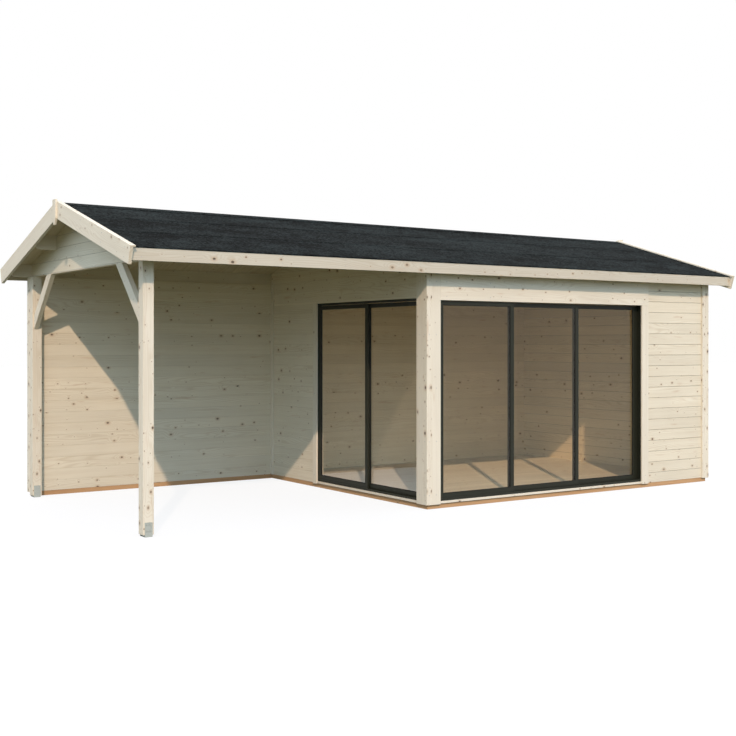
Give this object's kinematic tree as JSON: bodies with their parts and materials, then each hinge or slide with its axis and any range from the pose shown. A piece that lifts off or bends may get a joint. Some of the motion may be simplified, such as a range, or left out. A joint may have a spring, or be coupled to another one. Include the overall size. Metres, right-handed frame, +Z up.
{
  "type": "wooden garden house with covered terrace",
  "caption": "Wooden garden house with a closed room behind sliding glass doors and an open terrace on posts, both under one low gable roof.",
  "frame": {"origin": "on the ground under the middle of the roof's bounding box", "axes": "+X along the ridge from the terrace to the closed room, +Y from the front to the rear wall, +Z up"},
  "size_m": [7.03, 3.4, 2.7771],
  "materials": {
    "wall_timber": "planed, untreated softwood boards",
    "trim_timber": "planed, untreated softwood trims",
    "frame_timber": "planed, untreated softwood posts, braces and purlins",
    "roof_timber": "planed, untreated softwood boards",
    "floor_timber": "planed, untreated softwood boards",
    "base_timber": "reddish brown pressure-treated softwood",
    "roof_felt": "matt dark grey bitumen felt",
    "dark_metal": "matt anthracite powder coat on aluminium",
    "zinc": "dull galvanised steel",
    "pane": "clear glass"
  },
  "bodies": {
    "house": {"base_long_beams": "base_timber", "base_cross_beams": "base_timber", "floor_joists": "base_timber", "floor": "floor_timber", "rear_wall_terrace": "wall_timber", "rear_wall_room": "wall_timber", "right_wall": "wall_timber", "partition_wall": "wall_timber", "partition_upper": "wall_timber", "front_wall": "wall_timber", "front_wall_header": "wall_timber", "corner_post": "frame_timber", "left_gable": "wall_timber", "terrace_posts": "frame_timber", "post_shoes": "zinc", "braces": "frame_timber", "ridge_purlin": "frame_timber", "mid_purlins": "frame_timber", "eave_purlins": "frame_timber", "roof_boards_front": "roof_timber", "roof_boards_rear": "roof_timber", "felt_front": "roof_felt", "felt_rear": "roof_felt", "fascias": "trim_timber", "bargeboards_front": "trim_timber", "bargeboards_rear": "trim_timber", "barge_caps_front": "trim_timber", "barge_caps_rear": "trim_timber", "finials": "trim_timber", "corner_boards": "trim_timber", "door_trims": "trim_timber", "door_header_trim": "trim_timber", "side_trims": "trim_timber", "door_sills": "trim_timber", "door_frame": "dark_metal", "side_door_frame": "dark_metal", "door_linings": "trim_timber"},
    "left_leaf": {"door_leaf_left": "dark_metal", "door_glass_left": "pane"},
    "middle_leaf": {"door_leaf_middle": "dark_metal", "door_glass_middle": "pane"},
    "right_leaf": {"door_leaf_right": "dark_metal", "door_glass_right": "pane"},
    "side_front_leaf": {"side_leaf_front": "dark_metal", "side_glass_front": "pane"},
    "side_rear_leaf": {"side_leaf_rear": "dark_metal", "side_glass_rear": "pane"}
  },
  "joints": [
    {"name": "left_leaf_slide", "type": "slide", "parent": "house", "child": "left_leaf", "axis": [1, 0, 0], "range_m": [0, 1.75]},
    {"name": "middle_leaf_slide", "type": "slide", "parent": "house", "child": "middle_leaf", "axis": [1, 0, 0], "range_m": [-0.875, 0.875]},
    {"name": "right_leaf_slide", "type": "slide", "parent": "house", "child": "right_leaf", "axis": [1, 0, 0], "range_m": [-1.75, 0]},
    {"name": "side_front_leaf_slide", "type": "slide", "parent": "house", "child": "side_front_leaf", "axis": [0, 1, 0], "range_m": [0, 0.9]},
    {"name": "side_rear_leaf_slide", "type": "slide", "parent": "house", "child": "side_rear_leaf", "axis": [0, -1, 0], "range_m": [0, 0.9]}
  ]
}
